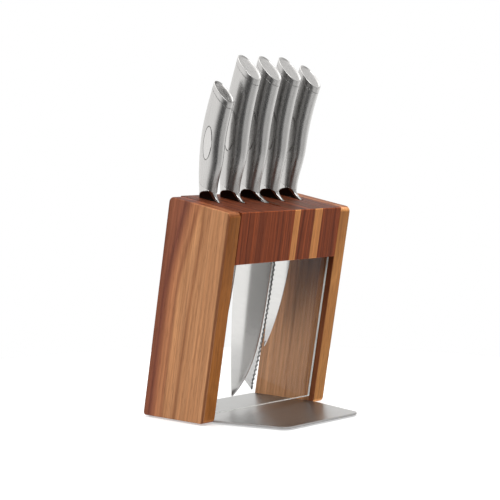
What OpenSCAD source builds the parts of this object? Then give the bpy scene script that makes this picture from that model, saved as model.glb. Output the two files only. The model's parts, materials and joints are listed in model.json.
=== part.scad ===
// Knife block with five knives. Two wooden side panels lean forward and carry a laminated top
// block with five slots. A clear panel closes the front, the back stays open, and a steel
// plate joins the feet of the panels. Each knife is a forging, a hollow handle, an end cap and
// a flush oval inlay, and it lifts out along the lean.
// Front is -Y, +Z is up, and the origin is the centre of the footprint on the table.

/* [Block] */
// Clear width between the two side panels
inner_w = 146; // [146:1:156]
// Thickness of each side panel
panel_t = 15.5; // [15:0.5:20]
// Depth of the block, square to the lean
block_d = 80; // [78:1:90]
// Length of a side panel at mid depth, along the lean
panel_l = 210; // [210:1:240]
// Angle by which the block leans forward
lean = 10; // [6:0.5:12]
// Radius on the corners of a side panel
panel_corner_r = 5.5; // [1:0.5:6]

/* [Top block] */
// Height of the slotted top block
top_h = 50; // [40:1:60]
// Distance between neighbouring knife slots
slot_pitch = 29; // [28:0.5:30]
// Width of a knife slot
slot_w = 4; // [3.6:0.1:5]
// Clear length left in a slot behind the spine and in front of the edge
slot_clear = 2; // [1:0.5:4]
// Distance from the back of the block to the spines of the knives
spine_setback = 12; // [10:0.5:14]
// Right side of the first dark stave
pale_1_x = 3.5; // [3:0.5:5]
// Width of the narrow pale stave
pale_1_w = 8.5; // [6:0.5:10]
// Left side of the wide pale stave
pale_2_x = 33.5; // [32:0.5:36]
// Width of the wide pale stave
pale_2_w = 11.5; // [9:0.5:13]
// Diameter of the dowels that join the block to the panels
dowel_d = 8; // [6:1:10]
// Depth of a dowel in the side panel
dowel_in_panel = 9; // [6:1:11]
// Depth of a dowel in the top block
dowel_in_block = 10; // [8:0.5:11]

/* [Front panel] */
// Thickness of the clear panel
clear_t = 3; // [2:0.5:4]
// Distance from the front of the block to the clear panel
clear_setback = 6; // [4:0.5:8]
// Gap between the clear panel and each side panel
clear_side_gap = 0.6; // [0.3:0.1:1.5]
// Height of the lower edge above the underside of the panels
clear_lift = 7; // [5:0.5:15]
// Depth of the groove that holds the clear panel in the top block
clear_groove = 10; // [6:1:14]

/* [Base plate] */
// Thickness of the steel plate
plate_t = 2; // [1.5:0.5:3]
// Reach of the plate in front of the side panels
plate_reach = 74; // [60:1:90]
// Reach of the plate behind the side panels
plate_back = 1; // [0.5:0.5:4]
// Narrowing of each side of the plate towards the front
plate_taper = 19; // [5:1:25]
// Radius of the two front corners
plate_r = 9; // [4:1:15]
// Width of the strip of plate let in under each panel
wing_w = 10; // [9:0.5:12]
// Distance from the ends of a panel to that strip
wing_inset = 7; // [5:1:12]
// Shank diameter of the plate screws
screw_d = 3.5; // [3:0.5:4]
// Head diameter of the plate screws
screw_head_d = 6.6; // [6:0.2:7]
// Length of the plate screws
screw_l = 18; // [14:1:22]
// Thickness of the rubber feet
foot_h = 1.5; // [1:0.5:3]
// Diameter of the rubber feet
foot_d = 12; // [8:1:14]

/* [Blades] */
// Length of the paring blade
paring_l = 92; // [80:1:100]
// Length of the carving blade
carving_l = 198; // [180:1:198]
// Length of the chef's blade
chef_l = 200; // [180:1:200]
// Length of the bread blade
bread_l = 197; // [180:1:197]
// Length of the utility blade
utility_l = 158; // [130:1:170]
// Thickness of a blade at the spine
blade_t = 2.2; // [1.8:0.1:2.4]

/* [Handles] */
// Height of the three long handles above the block
long_handle_l = 138.5; // [125:0.5:145]
// Height of the utility handle above the block
utility_handle_l = 132; // [120:0.5:140]
// Height of the paring handle above the block
paring_handle_l = 113; // [100:0.5:120]
// Wall thickness of the hollow handles
handle_wall = 2; // [1.8:0.1:2.2]
// Slope of the flat end of a handle
end_slope = 33; // [25:1:40]
// Slope of the seam between handle and bolster
seam_slope = 20; // [10:1:25]
// Height of that seam at the spine
seam_u = 16; // [14:0.5:20]
// Height of the end cap
cap_h = 5.5; // [4:0.5:8]

/* [Hidden] */
$fn = 48;

tan_color = [0.62, 0.42, 0.26];
dark_wood = [0.42, 0.20, 0.13];
pale_wood = [0.70, 0.48, 0.29];
steel = [0.76, 0.76, 0.75];
bright_steel = [0.86, 0.86, 0.85];

// The foot of a panel is cut level, so it is longer than the block is deep.
foot_y = block_d / cos(lean);
skew = block_d / 2 * tan(lean);
plate_front_y = -foot_y / 2 - plate_reach;
plate_back_y = foot_y / 2 + plate_back;
shift_y = -(plate_front_y + plate_back_y) / 2;
side_x = inner_w / 2;
groove_y = -block_d / 2 + clear_setback;
clear_z = (foot_y / 2 - clear_setback / cos(lean)) * sin(lean) + clear_lift;
dowel_ys = [-block_d * 0.2, block_d * 0.2];
screw_ys = [-24, 2, 28];
foot_back_xy = [side_x - 12, foot_y / 2 - 12];
foot_front_xy = [side_x - plate_taper - 10, plate_front_y + 14];

// Each knife: slot number from the middle, blade length, blade width, tip width across the
// edge line, sharpness of the edge curve, drop of the spine, slant of the blade end, reach of
// the heel at the block, handle height, handle depth low and high, thickness low and high, and
// how far the butt sweeps forward.
PARING = [-2, paring_l, 22, 5, 2.6, 4.5, 0, 25, paring_handle_l, 19.5, 27.5, 13.5, 16, 1];
CARVING = [-1, carving_l, 30, 8, 3.6, 7.5, 0, 31, long_handle_l, 21.5, 31, 15, 19.5, 1];
CHEF = [0, chef_l, 49.5, 21.5, 5.5, 20.5, 0, 36.5, long_handle_l, 21.5, 31, 15, 19.5, 1.5];
BREAD = [1, bread_l, 30.5, 21.5, 3.5, 9.5, 8, 31, long_handle_l, 21.5, 31, 15, 19.5, 2];
UTILITY = [2, utility_l, 25, 6, 3.2, 5, 0, 28.5, utility_handle_l, 20, 29.5, 14, 18, 6];

function slot_of(k) = k[0];
function blade_l(k) = k[1];
function blade_w(k) = k[2];
function tip_w(k) = k[3];
function edge_power(k) = k[4];
function spine_drop(k) = k[5];
function end_slant(k) = k[6];
function heel_reach(k) = k[7];
function handle_l(k) = k[8];

// Shared measures of the forging.
heel_start = 10;
heel_end = 10;
rest_gap = 0.4;
scoop_h = 9;
scoop_w = 15;
web = 1.3;
ring_n = 24;
bolster_steps = 8;
blade_steps = 15;
handle_steps = 9;

function mix(a, b, t) = a + (b - a) * t;
function clamp01(t) = max(0, min(1, t));
function smooth(t) = let (c = clamp01(t)) c * c * (3 - 2 * c);

// Outline of a knife: u runs up along the lean from the top of the block, w runs forward from
// the spine, and x runs across. The back of a handle bows out and the front widens upwards.
function bow(k) = handle_l(k) * (slot_of(k) == -2 ? 0.065 : 0.055);
function back_w(k, u) = let (s = u / handle_l(k)) -bow(k) * sin(180 * s) + k[13] * s * s;
function depth_at(k, u) = mix(k[9], k[10], smooth((u / handle_l(k) - 0.02) / 0.38));
function thick_at(k, u) = mix(k[11], k[12], smooth(u / handle_l(k) / 0.7));
function front_w(k, u) = back_w(k, u) + depth_at(k, u);
function bolster_front_w(k, u) =
    front_w(k, u) + (heel_reach(k) - front_w(k, 0)) * pow(clamp01(1 - u / heel_start), 2);
function spine_w(k, t) = spine_drop(k) * pow(t, 2);
function edge_w(k, t) = blade_w(k) - (blade_w(k) - tip_w(k)) * pow(t, edge_power(k));
function blade_front_w(k, t) =
    mix(heel_reach(k), edge_w(k, t), smooth(t * blade_l(k) / heel_end));

// Half thickness of the oval handle at angle a round the ring.
function oval_x(k, a, u, inset) =
    (thick_at(k, u) / 2 - inset) * sign(sin(a)) * pow(abs(sin(a)), 0.85);

// A flat ring round the handle, sloping down from the back to the front.
function handle_ring(k, u_back, slope, inset) =
    let (u_front = u_back - tan(slope) * depth_at(k, u_back),
        w_back = back_w(k, u_back), w_front = front_w(k, u_front), trim = inset / (w_front - w_back))
    [for (i = [0 : ring_n - 1])
        let (a = 360 * i / ring_n, q = mix(trim, 1 - trim, (1 - cos(a)) / 2))
        [oval_x(k, a, u_back, inset), -mix(w_back, w_front, q), mix(u_back, u_front, q)]];

// The bolster: an oval at the seam that is scooped out to a thin web above the block, with a
// full leg at the spine and a rib that sweeps forward to the heel.
function scoop(w, u) = smooth((pow((w - scoop_w - 4) / scoop_w, 2) + pow(u / scoop_h, 2) - 0.55) / 0.9);
function bolster_x(k, a, w, u) =
    sign(sin(a)) * mix(min(web, abs(oval_x(k, a, u, 0)) + 0.1), abs(oval_x(k, a, u, 0)), scoop(w, u));
function bolster_ring(k, t) =
    let (u_back = mix(seam_u, rest_gap, t),
        seam_front = seam_u - tan(seam_slope) * depth_at(k, seam_u),
        u_front = mix(seam_front, rest_gap, t))
    [for (i = [0 : ring_n - 1])
        let (a = 360 * i / ring_n, q = (1 - cos(a)) / 2, u = mix(u_back, u_front, q),
            w = mix(back_w(k, u_back), bolster_front_w(k, u_front), q))
        [bolster_x(k, a, w, u), -w, u]];

// The blade: a flat spine that tapers to the edge and to the tip.
function blade_x(a, q, t) =
    sign(sin(a)) * min(1, abs(sin(a)) * 3) * (blade_t / 2 * mix(1, 0.5, t) * (1 - pow(q, 3)) + 0.15);
function blade_ring(k, t) =
    let (u_back = rest_gap / 4 - t * (blade_l(k) - end_slant(k)),
        u_front = rest_gap / 4 - t * blade_l(k))
    [for (i = [0 : ring_n - 1])
        let (a = 360 * i / ring_n, q = (1 - cos(a)) / 2)
        [blade_x(a, q, t), -mix(spine_w(k, t), blade_front_w(k, t), q), mix(u_back, u_front, q)]];

// Triangles between neighbouring rings of n points, and the flat ends.
function side_faces(rings, n) =
    [for (j = [0 : rings - 2]) for (i = [0 : n - 1]) for (half = [0, 1])
        let (p = j * n + i, q = j * n + (i + 1) % n)
        half == 0 ? [p, q, q + n] : [p, q + n, p + n]];
function end_faces(rings, n) =
    [[for (i = [0 : n - 1]) n - 1 - i], [for (i = [0 : n - 1]) (rings - 1) * n + i]];

module loft(rings) {
    n = len(rings[0]);
    polyhedron(points = [for (r = rings) each r],
        faces = concat(side_faces(len(rings), n), end_faces(len(rings), n)), convexity = 6);
}

// A closed chain of rings, whose last ring meets its first.
module loft_loop(rings) {
    n = len(rings[0]);
    m = len(rings);
    chain = [for (r = rings) each r];
    faces = [for (j = [0 : m - 1]) for (i = [0 : n - 1]) for (half = [0, 1])
        let (p = j * n + i, q = j * n + (i + 1) % n, step = (j + 1) % m * n,
            p2 = step + i, q2 = step + (i + 1) % n)
        half == 0 ? [p, q, q2] : [p, q2, p2]];
    polyhedron(points = chain, faces = faces, convexity = 6);
}

// Points of an arc that rounds corner b between its neighbours a and c.
function unit(v) = v / norm(v);
function round_corner(a, b, c, r) =
    let (u = unit(a - b), v = unit(c - b), half = acos(u * v) / 2, centre = b + unit(u + v) * r / sin(half),
        start = b + u * r / tan(half), stop = b + v * r / tan(half), steps = 8)
    [for (i = [0 : steps]) centre + r * unit(mix(start, stop, i / steps) - centre)];
function rounded(points, radii) =
    let (n = len(points))
    [for (i = [0 : n - 1]) each radii[i] == 0 ? [points[i]]
        : round_corner(points[(i + n - 1) % n], points[i], points[(i + 1) % n], radii[i])];

// Places a shape in the leaning frame of the block, whose Z runs up along the panels.
module leaning() {
    translate([0, shift_y, foot_h]) rotate([lean, 0, 0]) children();
}

// Places a knife in its slot, with the top of the block at its zero height.
module in_slot(k) {
    leaning() translate([slot_of(k) * slot_pitch, block_d / 2 - spine_setback, panel_l]) children();
}

module upright() {
    translate([0, shift_y, foot_h]) children();
}

// ---- Wooden block ----

module dowel_places(x) {
    for (y = dowel_ys) translate([x, y, panel_l - top_h / 2]) rotate([0, 90, 0]) children();
}

module plate_outline() {
    wing_y = foot_y / 2 - wing_inset;
    front = plate_front_y;
    back = plate_back_y;
    tip_x = side_x - plate_taper;
    half = [[side_x, back], [side_x, wing_y], [side_x + wing_w, wing_y], [side_x + wing_w, -wing_y],
        [side_x, -wing_y], [side_x, -foot_y / 2], [tip_x, front]];
    radii = [0, 0, 2, 2, 0, 0, plate_r];
    n = len(half);
    mirrored = [for (i = [n - 1 : -1 : 0]) [-half[i][0], half[i][1]]];
    polygon(rounded(concat(half, mirrored), concat(radii, [for (i = [n - 1 : -1 : 0]) radii[i]])));
}

module screw_places(side) {
    for (y = screw_ys) translate([side * (side_x + wing_w / 2), y, 0]) children();
}

module side_panel(side) {
    low = skew;
    outline = [[-block_d / 2, low], [block_d / 2, -low], [block_d / 2, panel_l], [-block_d / 2, panel_l]];
    radii = [1, 0.5, 1, 1] * panel_corner_r;
    x0 = side > 0 ? side_x : -side_x - panel_t;
    difference() {
        leaning() translate([x0, 0, 0]) rotate([90, 0, 90]) linear_extrude(panel_t) polygon(rounded(outline, radii));
        upright() translate([0, 0, -1]) linear_extrude(plate_t + 1) plate_outline();
        upright() screw_places(side) cylinder(d = screw_d, h = screw_l);
        leaning() outward_hole(side, dowel_in_block, dowel_in_panel);
    }
}

// The dowel hole runs outwards from the inner face on both sides.
module outward_hole(side, inner, outer) {
    x0 = side * (side_x - inner);
    dowel_places(side > 0 ? x0 : x0 - inner - outer) cylinder(d = dowel_d, h = inner + outer);
}

module slot_cut(k) {
    reach = max(blade_w(k), heel_reach(k)) + slot_clear;
    translate([slot_of(k) * slot_pitch - slot_w / 2, block_d / 2 - spine_setback - reach, panel_l - top_h - 1])
        cube([slot_w, reach + slot_clear, top_h + 2]);
}

module stave(x0, x1) {
    leaning() difference() {
        translate([x0, -block_d / 2, panel_l - top_h]) cube([x1 - x0, block_d, top_h]);
        for (k = [PARING, CARVING, CHEF, BREAD, UTILITY]) slot_cut(k);
        translate([x0 - 1, groove_y, panel_l - top_h - 1]) cube([x1 - x0 + 2, clear_t, clear_groove + 1]);
        for (side = [-1, 1]) outward_hole(side, dowel_in_block, dowel_in_panel);
    }
}

module left_side_panel() {
    color(tan_color) side_panel(-1);
}

module right_side_panel() {
    color(tan_color) side_panel(1);
}

module wide_dark_stave() {
    color(dark_wood) stave(-side_x, pale_1_x);
}

module narrow_pale_stave() {
    color(pale_wood) stave(pale_1_x, pale_1_x + pale_1_w);
}

module middle_dark_stave() {
    color(dark_wood) stave(pale_1_x + pale_1_w, pale_2_x);
}

module wide_pale_stave() {
    color(pale_wood) stave(pale_2_x, pale_2_x + pale_2_w);
}

module right_dark_stave() {
    color(dark_wood) stave(pale_2_x + pale_2_w, side_x);
}

module block_dowels() {
    color(pale_wood) leaning() for (side = [-1, 1]) outward_hole(side, dowel_in_block, dowel_in_panel);
}

module clear_front_panel() {
    half = side_x - clear_side_gap;
    color([0.85, 0.92, 0.95, 0.35]) leaning() translate([-half, groove_y, clear_z])
        cube([2 * half, clear_t, panel_l - top_h + clear_groove - clear_z]);
}

// ---- Base ----

module plate_screw() {
    sink = (screw_head_d - screw_d) / 2;
    cylinder(d = screw_d, h = screw_l);
    cylinder(d1 = screw_head_d, d2 = screw_d, h = sink);
}

module base_plate() {
    color(steel) upright() difference() {
        linear_extrude(plate_t) plate_outline();
        for (side = [-1, 1]) screw_places(side) plate_screw();
    }
}

module plate_screws() {
    color(steel) upright() for (side = [-1, 1]) screw_places(side) plate_screw();
}

module rubber_feet() {
    color([0.08, 0.08, 0.08]) translate([0, shift_y, 0])
        for (side = [-1, 1]) for (spot = [foot_back_xy, foot_front_xy])
            translate([side * spot[0], spot[1], 0]) cylinder(d = foot_d, h = foot_h);
}

// ---- Knives ----

// The forging: bolster, heel, blade and the tang inside the handle.
module knife_forging(k) {
    blade = [for (j = [blade_steps : -1 : 0]) blade_ring(k, pow(j / blade_steps, 1.3))];
    bolster = [for (j = [bolster_steps : -1 : 0]) bolster_ring(k, j / bolster_steps)];
    loft(concat(blade, bolster));
    translate([-1.5, -depth_at(k, seam_u) / 2 - 4, seam_u - 8]) cube([3, 10, handle_l(k) * 0.45]);
}

module knife_handle(k) {
    top = handle_l(k) - cap_h;
    slope = function (t) mix(seam_slope, end_slope, t);
    outer = [for (j = [0 : handle_steps])
        let (t = j / handle_steps) handle_ring(k, mix(seam_u, top, t), slope(t), 0)];
    inner = [for (j = [handle_steps : -2 : 0])
        let (t = j / handle_steps) handle_ring(k, mix(seam_u, top, t), slope(t), handle_wall)];
    difference() {
        loft_loop(concat(outer, inner));
        inlay_prism(k);
    }
}

// The end cap has a rounded rim round a shallow recess.
module knife_end_cap(k) {
    h = handle_l(k);
    steps = [[cap_h, 0], [0.8, 0], [0.2, 0.3], [0, 0.9], [0.1, 1.5], [0.5, 1.8]];
    loft([for (s = steps) handle_ring(k, h - s[0], end_slope, s[1])]);
}

function inlay_u(k) = handle_l(k) * 0.48;
function inlay_l(k) = handle_l(k) * 0.29;
function inlay_w(k) = inlay_l(k) * 0.34;
function inlay_mid_w(k) = back_w(k, inlay_u(k)) + depth_at(k, inlay_u(k)) / 2;
inlay_n = 28;

function inlay_point(k, a, r) =
    [inlay_mid_w(k) + inlay_w(k) / 2 * r * sin(a), inlay_u(k) + inlay_l(k) / 2 * r * cos(a)];

// Half thickness of the handle at depth w and height u.
function face_x(k, w, u) =
    let (q = clamp01((w - back_w(k, u)) / depth_at(k, u)))
    thick_at(k, u) / 2 * pow(1 - pow(2 * q - 1, 2), 0.425);
function inlay_floor(k) = thick_at(k, inlay_u(k)) / 2 - 1.25;

// The recess for the inlay, cut into the left face of a handle.
module inlay_prism(k) {
    outline = [for (i = [0 : inlay_n - 1]) let (p = inlay_point(k, 360 * i / inlay_n, 1)) [-p[0], p[1]]];
    translate([-inlay_floor(k), 0, 0]) rotate([90, 0, -90]) linear_extrude(6)
        polygon([for (p = outline) [-p[0], p[1]]]);
}

module knife_inlay(k) {
    fit = 0.97;
    rim = [for (i = [0 : inlay_n - 1]) inlay_point(k, 360 * i / inlay_n, fit)];
    ring = function (r) [for (i = [0 : inlay_n - 1])
        let (p = inlay_point(k, 360 * i / inlay_n, fit * r)) [-face_x(k, p[0], p[1]), -p[0], p[1]]];
    floor_ring = [for (p = rim) [-inlay_floor(k), -p[0], p[1]]];
    rings = [floor_ring, ring(1), ring(0.66), ring(0.33)];
    n = inlay_n;
    centre = [-face_x(k, inlay_mid_w(k), inlay_u(k)), -inlay_mid_w(k), inlay_u(k)];
    top = 3 * n;
    fan = [for (i = [0 : n - 1]) [top + i, top + (i + 1) % n, 4 * n]];
    polyhedron(points = concat([for (r = rings) each r], [centre]),
        faces = concat(side_faces(4, n), [end_faces(4, n)[0]], fan), convexity = 4);
}

module paring_blade() {
    color(bright_steel) in_slot(PARING) knife_forging(PARING);
}

module paring_handle() {
    color(steel) in_slot(PARING) knife_handle(PARING);
}

module paring_end_cap() {
    color(steel) in_slot(PARING) knife_end_cap(PARING);
}

module paring_inlay() {
    color(bright_steel) in_slot(PARING) knife_inlay(PARING);
}

module carving_blade() {
    color(bright_steel) in_slot(CARVING) knife_forging(CARVING);
}

module carving_handle() {
    color(steel) in_slot(CARVING) knife_handle(CARVING);
}

module carving_end_cap() {
    color(steel) in_slot(CARVING) knife_end_cap(CARVING);
}

module carving_inlay() {
    color(bright_steel) in_slot(CARVING) knife_inlay(CARVING);
}

module chef_blade() {
    color(bright_steel) in_slot(CHEF) knife_forging(CHEF);
}

module chef_handle() {
    color(steel) in_slot(CHEF) knife_handle(CHEF);
}

module chef_end_cap() {
    color(steel) in_slot(CHEF) knife_end_cap(CHEF);
}

module chef_inlay() {
    color(bright_steel) in_slot(CHEF) knife_inlay(CHEF);
}

module bread_blade() {
    color(bright_steel) in_slot(BREAD) knife_forging(BREAD);
}

module bread_handle() {
    color(steel) in_slot(BREAD) knife_handle(BREAD);
}

module bread_end_cap() {
    color(steel) in_slot(BREAD) knife_end_cap(BREAD);
}

module bread_inlay() {
    color(bright_steel) in_slot(BREAD) knife_inlay(BREAD);
}

module utility_blade() {
    color(bright_steel) in_slot(UTILITY) knife_forging(UTILITY);
}

module utility_handle() {
    color(steel) in_slot(UTILITY) knife_handle(UTILITY);
}

module utility_end_cap() {
    color(steel) in_slot(UTILITY) knife_end_cap(UTILITY);
}

module utility_inlay() {
    color(bright_steel) in_slot(UTILITY) knife_inlay(UTILITY);
}

left_side_panel();
right_side_panel();
wide_dark_stave();
narrow_pale_stave();
middle_dark_stave();
wide_pale_stave();
right_dark_stave();
block_dowels();
clear_front_panel();
base_plate();
plate_screws();
rubber_feet();
paring_blade();
paring_handle();
paring_end_cap();
paring_inlay();
carving_blade();
carving_handle();
carving_end_cap();
carving_inlay();
chef_blade();
chef_handle();
chef_end_cap();
chef_inlay();
bread_blade();
bread_handle();
bread_end_cap();
bread_inlay();
utility_blade();
utility_handle();
utility_end_cap();
utility_inlay();
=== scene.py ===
"""A knife block with five knives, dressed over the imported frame: wood, steel and a clear front."""

import json
import math

import bmesh
import bpy
import numpy as np
from mathutils import Matrix, Vector
from mathutils.bvhtree import BVHTree


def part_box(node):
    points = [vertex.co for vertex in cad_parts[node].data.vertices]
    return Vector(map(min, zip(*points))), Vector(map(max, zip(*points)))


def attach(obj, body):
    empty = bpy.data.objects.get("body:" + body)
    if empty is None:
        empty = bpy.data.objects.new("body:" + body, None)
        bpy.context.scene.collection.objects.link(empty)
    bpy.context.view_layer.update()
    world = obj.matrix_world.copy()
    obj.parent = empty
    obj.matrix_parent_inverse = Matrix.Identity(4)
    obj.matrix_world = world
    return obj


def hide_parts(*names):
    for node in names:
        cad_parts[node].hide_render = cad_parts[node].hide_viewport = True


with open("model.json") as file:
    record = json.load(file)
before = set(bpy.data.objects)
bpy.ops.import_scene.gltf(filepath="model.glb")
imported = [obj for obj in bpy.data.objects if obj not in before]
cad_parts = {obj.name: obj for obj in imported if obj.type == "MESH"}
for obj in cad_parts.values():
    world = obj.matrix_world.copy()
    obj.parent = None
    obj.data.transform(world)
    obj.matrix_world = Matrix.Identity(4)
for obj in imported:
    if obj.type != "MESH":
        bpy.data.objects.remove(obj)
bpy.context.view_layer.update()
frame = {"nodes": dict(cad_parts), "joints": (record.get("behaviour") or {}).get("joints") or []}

MM = 0.001
DEG = math.pi / 180

# ---- Where things are, in mm, taken from the frame ----

joints = {j["name"]: j for j in frame["joints"]}
lift_axis = joints["chef_knife_lift"]["axis"]
LEAN = math.atan2(-lift_axis[1], lift_axis[2])
plate_low, plate_high = (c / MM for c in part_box("base_plate"))
foot_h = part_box("left_side_panel")[0].z / MM
side_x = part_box("wide_dark_stave")[0].x / -MM
panel_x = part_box("left_side_panel")[0].x / -MM
BLOCK_D, PANEL_L, TOP_H = 80.0, 210.0, 50.0
FOOT_Y = BLOCK_D / math.cos(LEAN)
SKEW = BLOCK_D / 2 * math.tan(LEAN)
PLATE_BACK = 1.0
shift_y = plate_high.y - PLATE_BACK - FOOT_Y / 2
plate_front = plate_low.y - shift_y
PLATE_T = plate_high.z - plate_low.z
SLOT_PITCH, SPINE_SETBACK = 29, 12
SPINE_Y = BLOCK_D / 2 - SPINE_SETBACK
SHEET_SETBACK, SHEET_T, SHEET_GAP, SHEET_LIFT = 6, 3.0, 0.6, 7
GROOVE_DEPTH = 10
GROOVE_Y = -BLOCK_D / 2 + SHEET_SETBACK
DOWEL_R, DOWEL_Z = 4, PANEL_L - TOP_H / 2
DOWEL_YS = (-BLOCK_D * 0.2, BLOCK_D * 0.2)
SCREW_HEAD, SCREW_SHANK = 6.6, 3.5
SCREW_YS = (-24, 2, 28)
WING_W = 10.0

UPRIGHT = Matrix.Translation(Vector((0, shift_y, foot_h)) * MM)
LEANING = UPRIGHT @ Matrix.Rotation(LEAN, 4, "X")


def in_slot(slot):
    """The place of a knife, whose zero height is the top of the block at its spine."""
    return LEANING @ Matrix.Translation(Vector((slot * SLOT_PITCH, SPINE_Y, PANEL_L)) * MM)


# ---- Mesh helpers: every shape is given in mm in its own frame ----

ROD_SIDES = 32


def set_shading(mesh, angle):
    mesh.shade_smooth()
    mesh.set_sharp_from_angle(angle=angle * DEG)


def piece(name, verts, faces, place, looks, body, stands_for=(), slot=None, angle=32, choose=None):
    """A mesh in its place, facing outwards, riding on a body. choose gives the material number of a
    face from its number and its middle."""
    verts = np.asarray(verts, float)
    turn, move = np.array(place.to_3x3()), np.array(place.translation)
    mesh = bpy.data.meshes.new(name)
    mesh.from_pydata((verts * MM @ turn.T + move).tolist(), [], faces)
    if choose:
        picks = [choose(i, verts[list(face)].mean(0)) for i, face in enumerate(faces)]
        mesh.polygons.foreach_set("material_index", picks)
    work = bmesh.new()
    work.from_mesh(mesh)
    bmesh.ops.recalc_face_normals(work, faces=work.faces)
    work.to_mesh(mesh)
    work.free()
    set_shading(mesh, angle)
    made = bpy.data.objects.new(name, mesh)
    bpy.context.scene.collection.objects.link(made)
    for look in looks:
        mesh.materials.append(look)
    if body:
        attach(made, body)
        if stands_for:
            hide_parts(*stands_for)
    return made


def carve(target, cutters, angle=32):
    """Cuts the cutters out of a piece and leaves it a plain mesh."""
    for cutter in cutters:
        cut = target.modifiers.new("cut", "BOOLEAN")
        cut.operation, cut.solver, cut.object = "DIFFERENCE", "EXACT", cutter
    bpy.context.view_layer.update()
    graph = bpy.context.evaluated_depsgraph_get()
    mesh = bpy.data.meshes.new_from_object(target.evaluated_get(graph))
    target.modifiers.clear()
    target.data = mesh
    for cutter in cutters:
        bpy.data.objects.remove(cutter)
    work = bmesh.new()
    work.from_mesh(mesh)
    bmesh.ops.remove_doubles(work, verts=work.verts, dist=1e-7)
    bmesh.ops.dissolve_degenerate(work, edges=work.edges, dist=1e-7)
    work.to_mesh(mesh)
    work.free()
    set_shading(mesh, angle)
    return target


def crisp(target):
    """Keeps the broad faces of a piece flat up to its rounded edges."""
    even = target.modifiers.new("even", "WEIGHTED_NORMAL")
    even.keep_sharp, even.weight = True, 100


def loft(rings, ends=True, loop=False):
    """Vertices and faces of a skin over rings with the same number of points."""
    rings = np.asarray(rings, float)
    m, n, _ = rings.shape
    faces = []
    for j in range(m if loop else m - 1):
        a, b = j * n, (j + 1) % m * n
        faces += [(a + i, a + (i + 1) % n, b + (i + 1) % n, b + i) for i in range(n)]
    if ends and not loop:
        faces += [tuple(range(n))[::-1], tuple((m - 1) * n + i for i in range(n))]
    return rings.reshape(-1, 3), faces


def join(parts):
    """One vertex and face list from several."""
    verts, faces, start = [], [], 0
    for v, f in parts:
        verts.append(np.asarray(v, float))
        faces += [tuple(i + start for i in face) for face in f]
        start += len(v)
    return np.concatenate(verts), faces


def rounded(points, radii, steps=10):
    """A polygon with arcs of the given radii in place of its corners."""
    out, n = [], len(points)
    pts = [Vector(p) for p in points]
    for i, radius in enumerate(radii):
        here = pts[i]
        if not radius:
            out.append(here)
            continue
        u, v = (pts[i - 1] - here).normalized(), (pts[(i + 1) % n] - here).normalized()
        half = math.acos(max(-1, min(1, u.dot(v)))) / 2
        centre = here + (u + v).normalized() * radius / math.sin(half)
        start, stop = here + u * radius / math.tan(half), here + v * radius / math.tan(half)
        for s in range(steps + 1):
            spoke = start.lerp(stop, s / steps) - centre
            out.append(centre + spoke.normalized() * radius)
    return np.array([tuple(p) for p in out])


def inset(outline, amount):
    """The outline moved inwards by an amount, for an outline that runs anticlockwise."""
    back = outline - np.roll(outline, 1, 0)
    ahead = np.roll(back, -1, 0)
    sides = [np.stack([-e[:, 1], e[:, 0]], 1) / np.linalg.norm(e, axis=1)[:, None] for e in (back, ahead)]
    both = sides[0] + sides[1]
    return outline + amount * both / (1 + (sides[0] * sides[1]).sum(1))[:, None]


def prism(outline, low, high, axis, arris=0.0, steps=4):
    """A solid of constant section along an axis, with its two rims rounded."""
    outline = np.asarray(outline, float)
    x, y = outline.T
    twice_area = (x * np.roll(y, -1) - y * np.roll(x, -1)).sum()
    if twice_area < 0:
        outline = outline[::-1]
    quarter = np.linspace(0, math.pi / 2, steps + 1)
    rim = [(arris * (1 - math.sin(a)), arris * (1 - math.cos(a))) for a in quarter]
    levels = [(0, low), (0, high)]
    if arris:
        levels = [(i, low + h) for i, h in rim] + [(i, high - h) for i, h in rim[::-1]]
    rings = []
    for shrink, level in levels:
        flat = inset(outline, shrink) if shrink else outline
        fixed = np.full(len(flat), level)
        columns = [fixed, *flat.T] if axis == "x" else [*flat.T, fixed]
        rings.append(np.stack(columns, 1))
    return loft(rings)


def turned(profile, centre, sides=48):
    """A solid of revolution about Z from (radius, height) pairs."""
    angles = np.arange(sides) * 2 * math.pi / sides
    rings = [np.stack([r * np.cos(angles), r * np.sin(angles), np.full(sides, z)], 1) for r, z in profile]
    return loft(np.array(rings) + np.asarray(centre, float))


def rod(radius, low, high, centre, axis="z"):
    verts, faces = turned([(radius, low), (radius, high)], (0, 0, 0), ROD_SIDES)
    if axis == "x":
        verts = verts[:, [2, 0, 1]]
    return verts + np.asarray(centre, float), faces


# ---- Materials ----


def srgb(*values):
    """A colour given as 0 to 255 per channel, in linear light."""
    return tuple(((v / 255 + 0.055) / 1.055) ** 2.4 if v > 10 else v / 3294.6 for v in values) + (1.0,)


def add_node(tree, kind, inputs=None, **settings):
    """A shader node with its settings made and its inputs linked or set."""
    made = tree.nodes.new(kind)
    for key, value in settings.items():
        setattr(made, key, value)
    for key, value in (inputs or {}).items():
        socket = made.inputs[key]
        if isinstance(value, bpy.types.NodeSocket):
            tree.links.new(value, socket)
        else:
            socket.default_value = value
    return made


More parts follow.
